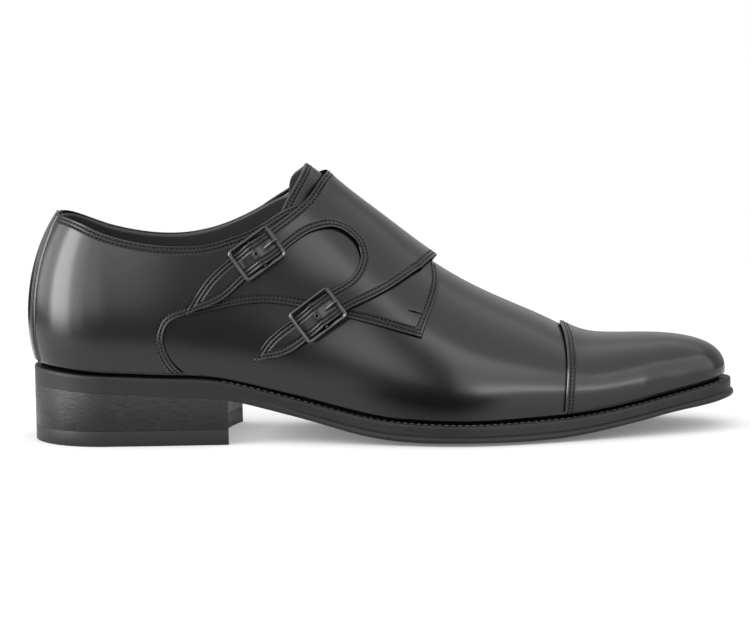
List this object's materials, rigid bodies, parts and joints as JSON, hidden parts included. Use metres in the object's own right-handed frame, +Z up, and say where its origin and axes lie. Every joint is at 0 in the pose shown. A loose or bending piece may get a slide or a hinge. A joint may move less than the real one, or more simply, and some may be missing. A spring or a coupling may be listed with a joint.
{
  "type": "double monk strap shoe",
  "caption": "Right-foot black leather double monk strap shoe with a plain straight toe cap, side buckles and a block heel, hollow and standing empty.",
  "frame": {"origin": "on the floor under the middle of the shoe's box", "axes": "+X from heel to toe, +Z up, -Y the outer side with the buckles"},
  "size_m": [0.3096, 0.1022, 0.1187],
  "materials": {
    "leather": "smooth black calf leather, semi-gloss",
    "lining": "matt black lining leather",
    "sole": "black rubber, satin",
    "stack": "black stacked heel lifts with a fine grain",
    "buckle_metal": "dark gunmetal plating, polished"
  },
  "bodies": {
    "root": {"outsole": "sole", "welt": "sole", "heel_stack": "stack", "top_piece": "sole", "insole": "lining", "upper": "leather", "tongue": "leather", "toe_cap": "leather", "backstay": "leather", "quarter_outer": "leather", "quarter_inner_straps": "leather", "buckle_upper": "buckle_metal", "buckle_lower": "buckle_metal", "prong_upper": "buckle_metal", "prong_lower": "buckle_metal"}
  },
  "joints": []
}
